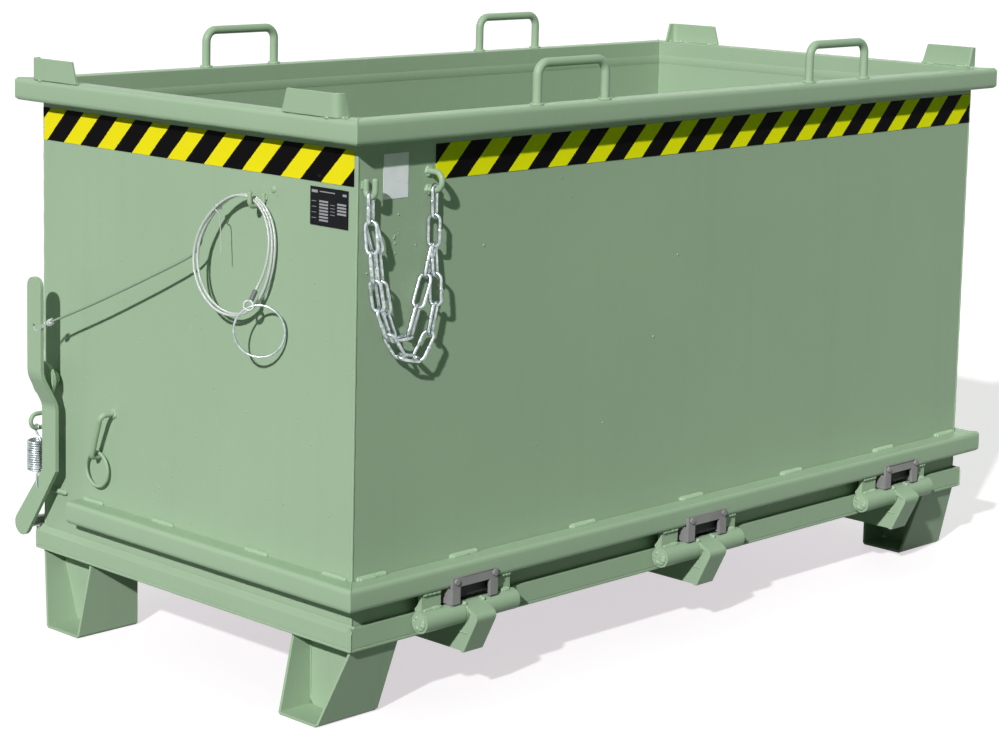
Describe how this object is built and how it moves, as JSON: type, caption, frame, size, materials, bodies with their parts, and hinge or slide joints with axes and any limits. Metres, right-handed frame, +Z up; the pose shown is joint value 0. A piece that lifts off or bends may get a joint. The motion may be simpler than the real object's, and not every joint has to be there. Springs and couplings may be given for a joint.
{
  "type": "drop bottom bin",
  "caption": "Steel site bin whose floor is a hinged flap, opened by a rope-pulled spring-return lever, with lifting loops, stacking corners and feet.",
  "frame": {"origin": "on the ground, at the middle of the bottom of the box that holds all but the rope and what hangs on it", "axes": "+X along the tub away from the lever, +Y away from the hinges, +Z up"},
  "size_m": [1.7969, 0.9434, 1.078],
  "materials": {
    "green_paint": "satin gloss",
    "grey_paint": "satin",
    "steel": "satin",
    "bright_zinc": "bright zinc plated",
    "black_rubber": "matt",
    "warning_stripes": "yellow and black film",
    "black_plate": "satin",
    "white_label": "paper film",
    "rope": "braided cord"
  },
  "bodies": {
    "tub": {"wall_front": "green_paint", "wall_back": "green_paint", "wall_left": "green_paint", "wall_right": "green_paint", "rim": "green_paint", "flange": "green_paint", "stacking_corner_1": "green_paint", "stacking_corner_2": "green_paint", "stacking_corner_3": "green_paint", "stacking_corner_4": "green_paint", "lifting_loop_1": "green_paint", "lifting_loop_2": "green_paint", "lifting_loop_3": "green_paint", "lifting_loop_4": "green_paint", "hinge_bracket_1": "green_paint", "hinge_bracket_2": "green_paint", "hinge_bracket_3": "green_paint", "hinge_pin_1": "green_paint", "hinge_pin_2": "green_paint", "hinge_pin_3": "green_paint", "shaft_bearing_1": "green_paint", "shaft_bearing_2": "green_paint", "shaft_bearing_3": "green_paint", "spring_eye": "green_paint", "rope_hook": "green_paint", "chain_eye": "green_paint", "chain_hook": "green_paint", "park_rod": "green_paint", "stripes_left": "warning_stripes", "stripes_right": "warning_stripes", "stripes_front": "warning_stripes", "stripes_back": "warning_stripes", "data_plate": "black_plate", "blank_label": "white_label", "buffer_housing_1": "grey_paint", "buffer_housing_2": "grey_paint", "buffer_housing_3": "grey_paint", "buffer_rubber_1": "black_rubber", "buffer_rubber_2": "black_rubber", "buffer_rubber_3": "black_rubber", "return_spring": "bright_zinc", "chain": "bright_zinc", "pull_ring": "bright_zinc", "rope_stretch": "rope", "rope_coil": "rope", "rope_ferrule": "rope"},
    "flap": {"floor_plate": "green_paint", "flap_frame": "green_paint", "foot_1": "green_paint", "foot_2": "green_paint", "foot_3": "green_paint", "foot_4": "green_paint", "striker_1": "green_paint", "striker_2": "green_paint", "striker_3": "green_paint"},
    "latch": {"release_lever": "green_paint", "lever_hub": "green_paint", "latch_shaft": "steel", "rope_knot": "rope"},
    "park_ring": {"park_ring": "green_paint"}
  },
  "joints": [
    {"name": "flap_hinge", "type": "hinge", "parent": "tub", "child": "flap", "pos_m": [0.014, -0.43203, 0.164], "axis": [-1, 0, 0], "range_deg": [0, 72]},
    {"name": "lever_shaft", "type": "hinge", "parent": "tub", "child": "latch", "pos_m": [-0.686, 0.45097, 0.181], "axis": [1, 0, 0], "range_deg": [0, 15], "stiffness_Nm_per_rad": 8, "springref_deg": -22.92, "deforming": ["return_spring", "rope_stretch"]},
    {"name": "park_ring_swing", "type": "hinge", "parent": "tub", "child": "park_ring", "pos_m": [-0.842, 0.25697, 0.338], "axis": [1, 0, 0], "range_deg": [-30, 30]}
  ]
}
